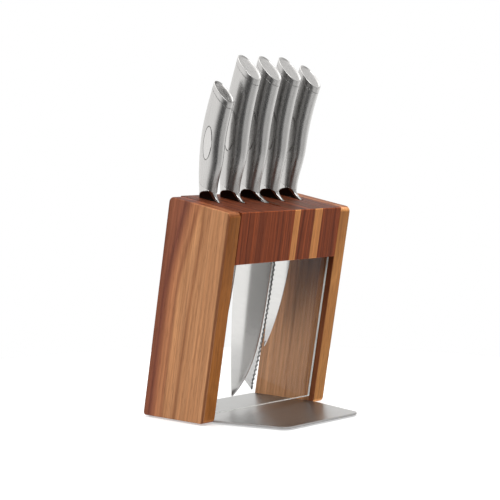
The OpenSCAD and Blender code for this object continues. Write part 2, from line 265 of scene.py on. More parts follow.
class Look:
    """A material being built: a Principled shader with nodes in front of it."""

    def __init__(self, name, **uniform):
        self.material = bpy.data.materials.new(name)
        self.material.use_nodes = True
        self.tree = self.material.node_tree
        self.tree.nodes.clear()
        self.shader = self.node("ShaderNodeBsdfPrincipled", uniform)
        self.output = self.node("ShaderNodeOutputMaterial", {"Surface": self.shader.outputs[0]})
        coordinates = self.node("ShaderNodeTexCoord").outputs
        self.normal = coordinates["Normal"]
        shift = {"Vector": coordinates["Object"], "Location": UPRIGHT.translation, "Rotation": (LEAN, 0, 0)}
        self.spot = self.node("ShaderNodeMapping", shift, vector_type="TEXTURE").outputs[0]

    def node(self, kind, inputs=None, **settings):
        return add_node(self.tree, kind, inputs, **settings)

    def feed(self, name, socket):
        self.tree.links.new(socket, self.shader.inputs[name])

    def math(self, operation, a, b=0.0, c=0.0, clamp=False):
        keys = {0: a, 1: b, 2: c}
        return self.node("ShaderNodeMath", keys, operation=operation, use_clamp=clamp).outputs[0]

    def span(self, value, low, high, to_low=0.0, to_high=1.0, kind="LINEAR"):
        keys = {0: value, 1: low, 2: high, 3: to_low, 4: to_high}
        return self.node("ShaderNodeMapRange", keys, interpolation_type=kind).outputs[0]

    def axes(self):
        return self.node("ShaderNodeSeparateXYZ", {0: self.spot}).outputs

    def facing(self, direction):
        """How far a face looks along a direction, from -1 to 1."""
        keys = {0: self.normal, 1: direction}
        return self.node("ShaderNodeVectorMath", keys, operation="DOT_PRODUCT").outputs["Value"]

    def noise(self, stretch, detail=2.0, rough=0.5, shift=0.0, warp=0.0):
        """Noise whose cells are 1 / stretch metres along each axis."""
        spot = self.node(
            "ShaderNodeVectorMath",
            {0: self.spot, 1: stretch, 2: (shift, shift * 0.7, shift * 1.3)},
            operation="MULTIPLY_ADD",
        ).outputs[0]
        keys = {"Vector": spot, "Scale": 1.0, "Detail": detail, "Roughness": rough, "Distortion": warp}
        return self.node("ShaderNodeTexNoise", keys).outputs[0]

    def line_noise(self, where, scale, detail=2.0, rough=0.5, shift=0.0):
        """Noise along one value only, for layers."""
        place = self.math("MULTIPLY_ADD", where, scale, shift)
        keys = {"W": place, "Scale": 1.0, "Detail": detail, "Roughness": rough}
        return self.node("ShaderNodeTexNoise", keys, noise_dimensions="1D").outputs[0]

    def ramp(self, value, stops):
        made = self.node("ShaderNodeValToRGB", {0: value})
        ramp = made.color_ramp
        while len(ramp.elements) < len(stops):
            ramp.elements.new(0.5)
        for element, (position, colour) in zip(ramp.elements, stops):
            element.position, element.color = position, colour
        return made.outputs[0]

    def mix(self, kind, factor, a, b):
        keys = {0: factor, 6: a, 7: b}
        return self.node("ShaderNodeMix", keys, data_type="RGBA", blend_type=kind).outputs[2]

    def bump(self, height, depth, strength=1.0):
        keys = {"Height": height, "Distance": depth, "Strength": strength}
        self.feed("Normal", self.node("ShaderNodeBump", keys).outputs[0])


def grey(value):
    return (value, value, value, 1.0)


WOOD_END = (0.72, 0.8, 0.92, 1)
END_CLOUD = [(0.32, (0.5, 0.45, 0.44, 1)), (0.48, (0.9, 0.88, 0.88, 1)), (0.66, (1.5, 1.6, 1.7, 1))]
# Lightening for the rounded arrises: edge wear and a painted highlight.
ARRIS_WEAR_AND_HIGHLIGHT = (1.7, 1.75, 1.8, 1)
UP_THE_BLOCK = (0, -math.sin(LEAN), math.cos(LEAN))
BACK_OF_THE_BLOCK = (0, math.cos(LEAN), math.sin(LEAN))


def wood(name, layers, slant, stops, seed, streak, heart_and_shade=None, dim=WOOD_END, fine=0.32, wide=105, front=None):
    """Wood whose fibres run along the local Z and whose growth layers stack along x or y. dim darkens
    the end grain, and front tints the faces that look forwards or back."""
    look = Look(name, **{"Specular IOR Level": 0.12})
    x, y, z = look.axes()
    across, other = (x, y) if layers == "x" else (y, x)
    wave = look.noise((22, 22, 4.5), shift=seed, detail=2)
    ripple = look.noise((90, 90, 10), shift=seed + 3, detail=1)
    place = look.math("MULTIPLY_ADD", z, slant, across)
    place = look.math("MULTIPLY_ADD", wave, 0.016, place)
    place = look.math("MULTIPLY_ADD", ripple, 0.0022, place)
    place = look.math("MULTIPLY_ADD", other, 0.06, place)
    broad = look.line_noise(place, wide, detail=3, rough=0.62, shift=seed * 1.7)
    lines = look.line_noise(place, 620, detail=2, rough=0.6, shift=seed * 2.3)
    fibres = look.noise((420, 420, 9), shift=seed, detail=3, rough=0.6)
    pores = look.noise((1500, 1500, 75), shift=seed, detail=1)
    colour = look.ramp(broad, stops)
    shade = look.span(lines, 0.3, 0.7, 1 - streak, 1 + streak * 0.45)
    soft = look.noise((190, 190, 5), shift=seed + 9, detail=3, rough=0.6)
    shade = look.math("MULTIPLY", shade, look.span(soft, 0.3, 0.7, 0.9, 1.07))
    shade = look.math("MULTIPLY", shade, look.span(fibres, 0.32, 0.68, 1 - fine, 1 + fine * 0.6))
    shade = look.math("MULTIPLY", shade, look.span(pores, 0.56, 0.72, 1.0, 0.72))
    if heart_and_shade:
        colour = heart_and_shade(look, colour, y, z, wave)
    shade = look.node("ShaderNodeCombineColor", {0: shade, 1: shade, 2: shade}).outputs[0]
    colour = look.mix("MULTIPLY", 1.0, colour, shade)
    upward = look.facing(UP_THE_BLOCK)
    ends = look.span(look.math("ABSOLUTE", upward), 0.75, 0.95)
    colour = look.mix("MULTIPLY", ends, colour, dim)
    cloud = look.noise((210, 12, 20), shift=seed + 21, detail=3, rough=0.6)
    colour = look.mix("MULTIPLY", ends, colour, look.ramp(cloud, END_CLOUD))
    backward = look.facing(BACK_OF_THE_BLOCK)
    # Rounded arrises between the top or bottom and the front or back are lightened: edge wear and a painted
    # highlight.
    arris = look.math("ABSOLUTE", look.math("MULTIPLY", upward, backward))
    colour = look.mix("MULTIPLY", look.span(arris, 0.15, 0.4), colour, ARRIS_WEAR_AND_HIGHLIGHT)
    if front:
        colour = look.mix("MULTIPLY", look.span(look.math("ABSOLUTE", backward), 0.6, 0.95), colour, front)
    look.feed("Base Color", colour)
    sheen = look.span(fibres, 0.3, 0.7, 0.44, 0.58)
    look.feed("Roughness", look.math("ADD", sheen, look.span(pores, 0.56, 0.72, 0, 0.15)))
    relief = look.math("SUBTRACT", fibres, look.span(pores, 0.56, 0.72, 0, 0.6))
    look.bump(relief, 0.00012, 0.6)
    return look.material


def left_heartwood_and_shade(look, colour, y, z, wave):
    """Red heartwood along the back of the left panel, behind a dark line that leans back, and a
    line of painted shade along the shaded arris at the front corner."""
    depth = look.math("SUBTRACT", 0.040, y)
    rise = look.math("POWER", look.span(z, 0.115, 0.212), 1.4)
    edge = look.math("MULTIPLY_ADD", rise, 0.017, 0.0085)
    depth = look.math("SUBTRACT", depth, edge)
    depth = look.math("MULTIPLY_ADD", wave, 0.005, depth)
    place = look.span(depth, -0.020, 0.040)
    stops = [
        (0.0, (0.62, 0.43, 0.46, 1)),
        (0.30, (0.50, 0.33, 0.37, 1)),
        (0.36, (0.36, 0.22, 0.28, 1)),
        (0.42, (0.50, 0.34, 0.37, 1)),
        (0.50, (0.78, 0.60, 0.58, 1)),
        (0.56, (0.90, 0.75, 0.71, 1)),
        (0.63, (0.64, 0.50, 0.48, 1)),
        (0.70, (0.98, 0.90, 0.84, 1)),
        (0.76, (1.06, 1.02, 0.98, 1)),
        (0.90, (0.90, 0.84, 0.82, 1)),
        (1.0, (1.0, 0.97, 0.95, 1)),
    ]
    colour = look.mix("MULTIPLY", 1.0, colour, look.ramp(place, stops))
    # Painted shade: a dark band along the sides' last few mm before the front corner, where the rounded arris
    # is in shade.
    painted_shade_band = look.math("MULTIPLY_ADD", wave, 0.003, y)
    stops = [(0.0, (1, 1, 1, 1)), (0.12, (1, 1, 1, 1)), (0.3, (0.4, 0.3, 0.25, 1))]
    stops += [(0.65, (0.44, 0.34, 0.28, 1)), (0.95, (1, 1, 1, 1))]
    return look.mix("MULTIPLY", 1.0, colour, look.ramp(look.span(painted_shade_band, -0.0392, -0.0338), stops))


def right_cloud_and_shade(look, colour, y, z, wave):
    """A darker cloud in the upper half of the right panel's sides, and a strip of painted shade on the sides
    in front of the sheet.
    """
    side = look.span(look.math("ABSOLUTE", look.facing((1, 0, 0))), 0.5, 0.9)
    high = look.span(look.math("MULTIPLY_ADD", wave, 0.05, z), 0.075, 0.185, kind="SMOOTHSTEP")
    high = look.math("MULTIPLY", high, side)
    place = look.span(look.math("MULTIPLY_ADD", wave, 0.02, y), -0.028, 0.035)
    stops = [(0.0, (0.5, 0.4, 0.32, 1)), (0.45, (0.3, 0.23, 0.2, 1))]
    stops += [(0.8, (0.7, 0.62, 0.56, 1)), (1.0, (0.95, 0.9, 0.86, 1))]
    colour = look.mix("MULTIPLY", high, colour, look.ramp(place, stops))
    # Painted shade: the sides' front strip ahead of the sheet is darkened where the inner face lies in
    # shadow.
    painted_shade_band = look.math("MULTIPLY", look.span(y, -0.0325, -0.0345), side)
    return look.mix("MULTIPLY", painted_shade_band, colour, (0.42, 0.26, 0.2, 1))


TAN = [(0.26, srgb(142, 92, 60)), (0.42, srgb(190, 135, 93))]
TAN += [(0.56, srgb(206, 151, 107)), (0.74, srgb(165, 110, 73))]
DARK = [(0.25, srgb(90, 39, 21)), (0.42, srgb(128, 60, 32))]
DARK += [(0.55, srgb(145, 71, 38)), (0.74, srgb(104, 46, 25))]
PALE = [(0.25, srgb(186, 118, 66)), (0.5, srgb(206, 137, 80)), (0.75, srgb(194, 126, 72))]
PALE_END = (0.22, 0.16, 0.17, 1)
PANEL_END = (0.62, 0.45, 0.38, 1)
LEFT_FRONT = (0.62, 0.46, 0.22, 1)
RIGHT_FRONT = (0.85, 0.74, 0.47, 1)
DARK_SLANTS, PALE_SLANTS = (0.03, -0.02, 0.04), (0.02, -0.03)

grain = {"dim": PANEL_END, "streak": 0.07, "fine": 0.2, "wide": 48}
left_wood = wood("left_panel_wood", "y", 0.03, TAN, 2.0, heart_and_shade=left_heartwood_and_shade, front=LEFT_FRONT, **grain)
right_wood = wood("right_panel_wood", "y", -0.05, TAN, 11.0, heart_and_shade=right_cloud_and_shade, front=RIGHT_FRONT, **grain)
dark_woods = [
    wood(f"dark_wood_{i}", "x", slant, DARK, 5.0 + 7 * i, streak=0.34)
    for i, slant in enumerate(DARK_SLANTS)
]
pale_woods = [
    wood(f"pale_wood_{i}", "x", slant, PALE, 31.0 + 5 * i, dim=PALE_END, streak=0.16, fine=0.18)
    for i, slant in enumerate(PALE_SLANTS)
]
dowel_wood = wood("dowel_wood", "y", 0.0, PALE, 47.0, streak=0.12)


WARMTH = 0.97


def steel(name, value, rough, brush, depth, spread=0.05, cloud=0.03):
    """Steel with fine grinding lines; brush is the noise stretch, long along the lines."""
    look = Look(name, Metallic=1.0)
    lines = look.noise(brush, detail=2, rough=0.6)
    veil = look.noise((55, 55, 40), shift=8, detail=2)
    rough_map = look.span(lines, 0.25, 0.75, rough - spread, rough + spread)
    look.feed("Roughness", look.math("ADD", rough_map, look.span(veil, 0.3, 0.7, -cloud, cloud), clamp=True))
    stops = []
    for position, tone in ((0.3, value * 0.94), (0.7, value * 1.04)):
        stops.append((position, (tone, tone * (1 + WARMTH) / 2, tone * WARMTH, 1)))
    look.feed("Base Color", look.ramp(lines, stops))
    look.bump(lines, depth, 0.5)
    return look.material


handle_steel = steel("handle_steel", 0.53, 0.27, (1300, 1300, 35), 0.000003, spread=0.04, cloud=0.01)
bolster_steel = steel("bolster_steel", 0.54, 0.12, (1800, 1800, 90), 0.000001, spread=0.02, cloud=0.01)
# Near-black steel for the coves above the block: painted shade and painted dark reflection in the hollows.
cove_shade_steel = steel("cove_shade_steel", 0.055, 0.22, (1800, 1800, 90), 0.000001, spread=0.02, cloud=0.01)
blade_steel = steel("blade_steel", 0.65, 0.14, (300, 60, 2400), 0.000002, spread=0.03, cloud=0.01)
bevel_steel = steel("bevel_steel", 0.66, 0.2, (300, 90, 3200), 0.000002, spread=0.04, cloud=0.01)
scallop_steel = steel("scallop_steel", 0.2, 0.25, (300, 90, 3200), 0.000002, spread=0.04, cloud=0.01)
cap_steel = steel("cap_face_steel", 0.45, 0.3, (600, 40, 600), 0.000012, spread=0.08)
inlay_steel = steel("inlay_steel", 0.59, 0.22, (2200, 2200, 70), 0.000002, spread=0.03, cloud=0.01)
plate_steel = steel("plate_steel", 0.43, 0.34, (18, 420, 420), 0.00004, spread=0.06, cloud=0.012)
screw_steel = steel("screw_steel", 0.5, 0.28, (900, 900, 900), 0.00001)

rubber = Look("foot_rubber", **{"Specular IOR Level": 0.3})
speck = rubber.noise((900, 900, 900), detail=3)
rubber.feed("Base Color", rubber.ramp(speck, [(0.3, grey(0.010)), (0.7, grey(0.022))]))
rubber.feed("Roughness", rubber.span(speck, 0.3, 0.7, 0.6, 0.85))
rubber.bump(speck, 0.00006)


def clear_look():
    """A clear sheet that lets lamps through, with faint wipe marks."""
    look = Look("clear_sheet", **{"Roughness": 0.0, "IOR": 1.2, "Transmission Weight": 1.0})
    wipes = look.noise((30, 30, 9), detail=3, warp=0.6)
    stops = [(0.3, (0.955, 0.965, 0.965, 1)), (0.7, (0.98, 0.985, 0.985, 1))]
    look.feed("Base Color", look.ramp(wipes, stops))
    gate = look.node("ShaderNodeLightPath").outputs["Is Shadow Ray"]
    through = look.node("ShaderNodeBsdfTransparent", {0: (0.93, 0.95, 0.95, 1)})
    keys = {0: gate, 1: look.shader.outputs[0], 2: through.outputs[0]}
    both = look.node("ShaderNodeMixShader", keys)
    look.tree.links.new(both.outputs[0], look.output.inputs[0])
    return look.material


clear_sheet = clear_look()
rim = Look("clear_sheet_edge", **{"IOR": 1.49, "Transmission Weight": 0.15})
saw = rim.noise((500, 500, 500), detail=3)
rim.feed("Base Color", rim.ramp(saw, [(0.3, srgb(240, 241, 236)), (0.7, srgb(251, 251, 248))]))
rim.feed("Roughness", rim.span(saw, 0.3, 0.7, 0.18, 0.32))
rim.bump(saw, 0.00002)
clear_edge = rim.material

# ---- Side panels ----

half_d = BLOCK_D / 2
skewed = [(-half_d, SKEW), (half_d, -SKEW), (half_d, PANEL_L), (-half_d, PANEL_L)]
panel_outline = rounded(skewed, [5.5, 2.75, 5.5, 5.5])


def plate_shape():
    wing = FOOT_Y / 2 - 7
    tip = side_x - 19
    back = FOOT_Y / 2 + PLATE_BACK
    out = side_x + WING_W
    half = [(side_x, back), (side_x, wing), (out, wing), (out, -wing), (side_x, -wing)]
    half += [(side_x, -FOOT_Y / 2), (tip, plate_front)]
    radii = [0, 0, 2, 2, 0, 0, 9]
    return rounded(half + [(-x, y) for x, y in half[::-1]], radii + radii[::-1])


def cutter(shape, place):
    return piece("cutter", *shape, place, [], None)


def dowel_holes(side, start, stop):
    """The dowels' holes on one side of the block, from start to stop along x."""
    pegs = [rod(DOWEL_R, start, stop, (0, y, DOWEL_Z), "x") for y in DOWEL_YS]
    for verts, _ in pegs:
        verts[:, 0] *= side
    return join(pegs)


for side, name, look in ((-1, "left_side_panel", left_wood), (1, "right_side_panel", right_wood)):
    low, high = sorted((side * side_x, side * panel_x))
    board = prism(panel_outline, low, high, "x", 1.3)
    plank = piece(f"{name}_wood", *board, LEANING, [look], "block", [name], "side_panel_wood")
    holes = [rod(SCREW_SHANK / 2, -1, 18, (side * (side_x + WING_W / 2), y, 0)) for y in SCREW_YS]
    cutters = [
        cutter(prism(plate_shape(), -1, PLATE_T, "z"), UPRIGHT),
        cutter(join(holes), UPRIGHT),
        cutter(dowel_holes(side, side_x - 1, side_x + 9), LEANING),
    ]
    crisp(carve(plank, cutters))

# ---- The laminated top block ----

low_z = PANEL_L - TOP_H
groove_top, groove_back = low_z + GROOVE_DEPTH, GROOVE_Y + SHEET_T
groove = [(GROOVE_Y, low_z), (GROOVE_Y, groove_top), (groove_back, groove_top), (groove_back, low_z)]
stave_corners = [(-half_d, low_z), *groove, (half_d, low_z), (half_d, PANEL_L), (-half_d, PANEL_L)]
stave_outline = rounded(stave_corners, [0.8, 0, 0, 0, 0, 0.8, 0.9, 0.9], 4)

# Slot number, blade width, tip width, power of the edge curve, drop of the spine, slant of the end,
# reach of the heel, handle height, depth low and high, thickness low and high, sweep.
KNIVES = {
    "paring": (-2, 22, 5, 2.6, 4.5, 0, 25, 113, 19.5, 27.5, 13.5, 16, 1),
    "carving": (-1, 30, 8, 3.6, 7.5, 0, 31, 138.5, 21.5, 31, 15, 19.5, 1),
    "chef": (0, 49.5, 21.5, 5.5, 20.5, 0, 36.5, 138.5, 21.5, 31, 15, 19.5, 1.5),
    "bread": (1, 30.5, 21.5, 3.5, 9.5, 8, 31, 138.5, 21.5, 31, 15, 19.5, 2),
    "utility": (2, 25, 6, 3.2, 5, 0, 28.5, 132, 20, 29.5, 14, 18, 6),
}
SLOT_HALF, SLOT_SPARE = 2, 2
STAVES = [
    ("wide_dark_stave", "dark_stave_wood", dark_woods[0]),
    ("narrow_pale_stave", "pale_stave_wood", pale_woods[0]),
    ("middle_dark_stave", "dark_stave_wood", dark_woods[1]),
    ("wide_pale_stave", "pale_stave_wood", pale_woods[1]),
    ("right_dark_stave", "dark_stave_wood", dark_woods[2]),
]
for name, slot, look in STAVES:
    x0, x1 = (c.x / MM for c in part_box(name))
    stave = piece(f"{name}_wood", *prism(stave_outline, x0, x1, "x"), LEANING, [look], "block", [name], slot)
    cuts = []
    for number, width, _, _, _, _, heel, *_ in KNIVES.values():
        middle = number * SLOT_PITCH
        if x0 < middle < x1:
            front, back = SPINE_Y - max(width, heel) - SLOT_SPARE, SPINE_Y + SLOT_SPARE
            left, right = middle - SLOT_HALF, middle + SLOT_HALF
            mouth = rounded([(left, front), (right, front), (right, back), (left, back)], [1.9] * 4, 8)
            cuts.append(cutter(prism(mouth, low_z - 1, PANEL_L + 1, "z"), LEANING))
    for side in (-1, 1):
        if x0 < side * (side_x - 1) < x1:
            cuts.append(cutter(dowel_holes(side, side_x - 10, side_x + 1), LEANING))
    crisp(carve(stave, cuts) if cuts else stave)

# ---- Clear front sheet ----

sheet_half = side_x - SHEET_GAP
sheet_low = (FOOT_Y / 2 - SHEET_SETBACK / math.cos(LEAN)) * math.sin(LEAN) + SHEET_LIFT
corners = [(-sheet_half, sheet_low), (sheet_half, sheet_low)]
corners += [(sheet_half, groove_top), (-sheet_half, groove_top)]
verts, faces = prism(rounded(corners, [0.8, 0.8, 0.8, 0.8], 4), GROOVE_Y, GROOVE_Y + SHEET_T, "z", 0.25, 2)
verts = verts[:, [0, 2, 1]]
broad_faces = (len(faces) - 2, len(faces) - 1)
piece(
    "clear_front_sheet", verts, faces, LEANING, [clear_sheet, clear_edge], "block", ["clear_front_panel"],
    "clear_sheet", angle=1,
    choose=lambda i, middle: 0 if i in broad_faces or middle[0] < 0.5 - sheet_half else 1,
)

# ---- Base plate, screws and feet ----

slab = prism(plate_shape(), 0, PLATE_T, "z", 0.3, 3)
plate = piece("base_plate_steel", *slab, UPRIGHT, [plate_steel], "block", ["base_plate"], "plate_steel")
SINK = (SCREW_HEAD - SCREW_SHANK) / 2
screw_spots = [(side * (side_x + WING_W / 2), y) for side in (-1, 1) for y in SCREW_YS]
sinks = [turned([(3.35, -0.05), (1.8, SINK), (1.8, PLATE_T + 1)], (x, y, 0)) for x, y in screw_spots]
crisp(carve(plate, [cutter(join(sinks), UPRIGHT)]))

THREAD_ROOT_R, THREAD_STEP, THREAD_POINTS = 1.35, 0.55, 26
thread = [
    (SCREW_SHANK / 2 if i % 2 else THREAD_ROOT_R, SINK + 0.8 + i * THREAD_STEP) for i in range(THREAD_POINTS)
]
screw_profile = [(3.2, 0), (3.25, 0.12), (1.7, SINK)] + thread + [(0.9, 17.2), (0.15, 18)]
bolts = join([turned(screw_profile, (x, y, 0.02), ROD_SIDES) for x, y in screw_spots])
screws = piece("countersunk_screws", *bolts, UPRIGHT, [screw_steel], "block", ["plate_screws"], "screw_steel")
SOCKET_R = 1.45
hexagon = [(SOCKET_R * math.cos(a * 60 * DEG), SOCKET_R * math.sin(a * 60 * DEG)) for a in range(6)]
sockets = [prism([(x + a, y + b) for a, b in hexagon], -0.5, 1.3, "z") for x, y in screw_spots]
carve(screws, [cutter(join(sockets), UPRIGHT)])

foot_spots = [(side_x - 12, FOOT_Y / 2 - 12), (side_x - 29, plate_front + 14)]
foot_profile = [(0.2, -foot_h + 0.45), (3.6, -foot_h + 0.4), (4.3, -foot_h + 0.02), (5.2, -foot_h)]
foot_profile += [(5.7, -foot_h + 0.15), (6, -foot_h + 0.5), (5.9, 0)]
feet = [turned(foot_profile, (side * x, y, 0)) for side in (-1, 1) for x, y in foot_spots]
piece("rubber_foot_pads", *join(feet), UPRIGHT, [rubber.material], "block", ["rubber_feet"], "foot_rubber")

dowels = frame["nodes"]["block_dowels"]
dowels.data.materials.clear()
dowels.data.materials.append(dowel_wood)

# ---- Knives ----

SEAM_U, SEAM_SLOPE, END_SLOPE, CAP_H, WALL = 16.0, 20.0, 33.0, 5.5, 2.0
REST = 0.4
LIFT_SPARE = 12
SIDE_POINTS = 34
EDGE_POINTS = 4
RING_POINTS = 72
INLAY_POINTS = 72
BLADE_T, TIP_SHARE = 1.1, 0.55
COVE_W, COVE_HALF, COVE_H, COVE_FULL = 18.0, 17.5, 9.5, 0.985
RIB_W = 5.0
TEETH_START, TEETH_END, TEETH_PITCH, TEETH_DEPTH = 16, 5, 5.0, 1.5
INLAY_AT, INLAY_LENGTH, INLAY_SHAPE, INLAY_SINK = 0.48, 0.29, 0.17, 1.25

# Grooves at the two seams of a handle: distance from the seam, and how far the skin is drawn in.
SEAM_GROOVE = [(0.02, 0.5), (0.22, 0.5), (0.24, 0.06), (0.32, 0.0), (0.5, 0.0)]
CAP_GROOVE = [(0.02, 0.6), (0.2, 0.6), (0.22, 0.06), (0.3, 0.0), (0.45, 0.0)]

# The cap's rim and its dished face: drop below the top, and distance inwards from the skin.
CAP_RIM = [(0.9, 0.0), (0.7, 0.0), (0.4, 0.06), (0.15, 0.2), (0.03, 0.38), (0.0, 0.6)]
CAP_DISH = [(0.05, 0.8), (0.25, 0.95), (0.55, 1.2), (0.8, 1.6)]
CAP_DISH += [(0.95, 2.2), (1.03, 3.2), (1.08, 4.6), (1.1, 6.0)]
CAP_FACE_ROW = len(CAP_GROOVE) + len(CAP_RIM) + 2


def clamp01(t):
    return np.clip(t, 0, 1)


def smooth(t):
    t = clamp01(t)
    return t * t * (3 - 2 * t)


def smoother(t):
    t = clamp01(t)
    return t**3 * (t * (6 * t - 15) + 10)


def blend(a, b, t):
    return a + (b - a) * t


class Knife:
    """The outline of one knife: u runs up from the block, w forward from the spine, x across."""

    def __init__(self, name):
        self.name, self.body = name, f"{name}_knife"
        slot, *shape, self.handle, depth_low, depth_high, thick_low, thick_high, self.sweep = KNIVES[name]
        self.width, self.tip, self.power, self.drop, self.slant, self.heel = shape
        self.depths, self.thicks = (depth_low, depth_high), (thick_low, thick_high)
        self.blade = joints[f"{name}_knife_lift"]["range_m"][1] / MM - LIFT_SPARE
        self.bow = self.handle * (0.065 if name == "paring" else 0.055)
        self.place = in_slot(slot)
        self.bevel, self.thinned = (2.0, 0.3) if name == "bread" else (1.3, 0.06)

    def back(self, u):
        s = u / self.handle
        return -self.bow * np.sin(math.pi * s) + self.sweep * s * s

    def depth(self, u):
        return blend(self.depths[0], self.depths[1], smoother((u / self.handle + 0.02) / 0.45))

    def thick(self, u):
        return blend(self.thicks[0], self.thicks[1], smoother((u / self.handle + 0.05) / 0.85))

    def front(self, u):
        return self.back(u) + self.depth(u)

    def oval(self, q, u, shrink=0.0):
        return (self.thick(u) / 2 - shrink) * (2 * np.sqrt(clamp01(q * (1 - q)))) ** 0.85

    def handle_ring(self, u_back, slope, shrink):
        u_front = u_back - math.tan(slope * DEG) * self.depth(u_back)
        w_back, w_front = self.back(u_back), self.front(u_front)
        trim = shrink / (w_front - w_back)
        a = np.arange(RING_POINTS) * 2 * math.pi / RING_POINTS
        q = (1 - np.cos(a)) / 2
        x = self.oval(q, u_back, shrink) * np.sign(np.sin(a) + 1e-12)
        q = blend(trim, 1 - trim, q)
        return np.stack([x, -blend(w_back, w_front, q), blend(u_back, u_front, q)], 1)

    def bolster_front(self, u):
        return self.front(u) + (self.heel - self.front(0)) * clamp01(1 - u / 10) ** 2

    def ring(self, u_back, u_front, w_back, w_front, half):
        """A ring from the spine to the edge and back, with a point on the edge's shoulder."""
        shoulder = 1 - self.bevel / (w_front - w_back)
        i = np.arange(SIDE_POINTS + 1) / SIDE_POINTS
        side = shoulder * (1 - np.cos(math.pi * i)) / 2
        q = np.concatenate([side, np.linspace(shoulder, 1, EDGE_POINTS + 1)[1:]])
        w, u = blend(w_back, w_front, q), blend(u_back, u_front, q)
        x = half(q, w, u)
        one = np.stack([x, -w, u], 1)
        other = np.stack([-x, -w, u], 1)[1:-1][::-1]
        return np.concatenate([one, other])

    def cove_reach(self, w, u):
        """How far a point is from the middle of the cove, where its rim is 1."""
        return ((w - COVE_W) / COVE_HALF) ** 2 + (u / COVE_H) ** 2

    def bolster_half(self, q, w, u):
        """Half thickness of the bolster, hollowed by a cove on each side above the block."""
        full = self.oval(q, u)
        size = blend(1.1, 2.4, clamp01(u / 9))
        ahead = np.abs(w[-1] - w - size * 1.05) / (size * 1.05)
        rib = size * np.sqrt(1 - np.minimum(ahead, 1) ** 2)
        web = np.maximum(np.minimum(1.0, full + 0.1), np.minimum(rib, full + 1))
        reach = np.minimum(self.cove_reach(w, u), 1)
        cove = (1 - np.sqrt(1 - reach * COVE_FULL)) / (1 - math.sqrt(0.015))
        return blend(web, full, cove)

    def blade_half(self, t):
        thick = BLADE_T * blend(1, TIP_SHARE, t)

        def half(q, w, u):
            shoulder = q[SIDE_POINTS]
            from_spine = w - w[0]
            round_spine = np.sqrt(1 - (1 - clamp01(from_spine / 0.45)) ** 2)
            taper = blend(1.0, self.thinned, clamp01(q / shoulder))
            bevel = clamp01((1 - q) / (1 - shoulder))
            return thick * round_spine * taper * bevel + 0.04 * (q > 0)

        return half

    def edge(self, t):
        edge = self.width - (self.width - self.tip) * t**self.power
        return blend(self.heel, edge, smooth(t * self.blade / 10))

    def teeth(self, t):
        """How far the scallops of the bread blade are cut back at t."""
        along = t * self.blade
        if self.name != "bread" or not TEETH_START < along < self.blade - TEETH_END:
            return 0.0
        s = (along / TEETH_PITCH) % 1
        return TEETH_DEPTH * (1 - (2 * s - 1) ** 2)

    def forging(self):
        rings = []
        seam_front = SEAM_U - math.tan(SEAM_SLOPE * DEG) * self.depth(SEAM_U)
        for t in np.concatenate([[0, 0.01, 0.03], np.linspace(0.05, 1, 46)]):
            u_back, u_front = blend(SEAM_U, REST, t), blend(seam_front, REST, t)
            w_back, w_front = self.back(u_back), self.bolster_front(u_front)
            ring = self.ring(u_back, u_front, w_back, w_front, self.bolster_half)
            rings.append(ring * (1 - 0.03 * clamp01(1 - t / 0.03), 1, 1))
        count, crowding = (470, 1.0) if self.name == "bread" else (110, 1.2)
        for t in np.linspace(0, 1, count) ** crowding:
            u_back = REST / 4 - t * (self.blade - self.slant)
            u_front = REST / 4 - t * self.blade
            w_back, w_front = self.drop * t**2, self.edge(t) - self.teeth(t)
            rings.append(self.ring(u_back, u_front, w_back, w_front, self.blade_half(t)))
        return loft(rings)

    def handle_shell(self):
        """The rings of the hollow handle, outside from the seam up and inside back down."""
        top = self.handle - CAP_H

        def shell_ring(u, drawn_in):
            slope = blend(SEAM_SLOPE, END_SLOPE, clamp01((u - SEAM_U) / (top - SEAM_U)))
            return self.handle_ring(u, slope, drawn_in)

        levels = [(SEAM_U + away, drawn_in) for away, drawn_in in SEAM_GROOVE]
        levels += [(u, 0.0) for u in np.linspace(SEAM_U + 3, top - 3, 46)]
        levels += [(top - away, drawn_in) for away, drawn_in in CAP_GROOVE[::-1]]
        outer = [shell_ring(u, drawn_in) for u, drawn_in in levels]
        inner = [shell_ring(u, WALL) for u in np.linspace(top - 0.02, SEAM_U + 0.02, 12)]
        return outer, inner

    def cap(self):
        steps = [(CAP_H - away, drawn_in) for away, drawn_in in CAP_GROOVE] + CAP_RIM + CAP_DISH
        return loft([self.handle_ring(self.handle - drop, END_SLOPE, drawn_in) for drop, drawn_in in steps])

    def inlay_outline(self, scale):
        u0 = self.handle * INLAY_AT
        length = self.handle * INLAY_LENGTH
        w0 = self.back(u0) + self.depth(u0) / 2
        a = np.arange(INLAY_POINTS) * 2 * math.pi / INLAY_POINTS
        return -(w0 + length * INLAY_SHAPE * scale * np.sin(a)), u0 + length / 2 * scale * np.cos(a)

    def inlay_ring(self, scale, x):
        """The inlay's outline at one height across the handle."""
        y, u = self.inlay_outline(scale)
        return np.stack([np.full(INLAY_POINTS, x), y, u], 1)

    def inlay_floor(self):
        return self.thick(self.handle * INLAY_AT) / 2 - INLAY_SINK


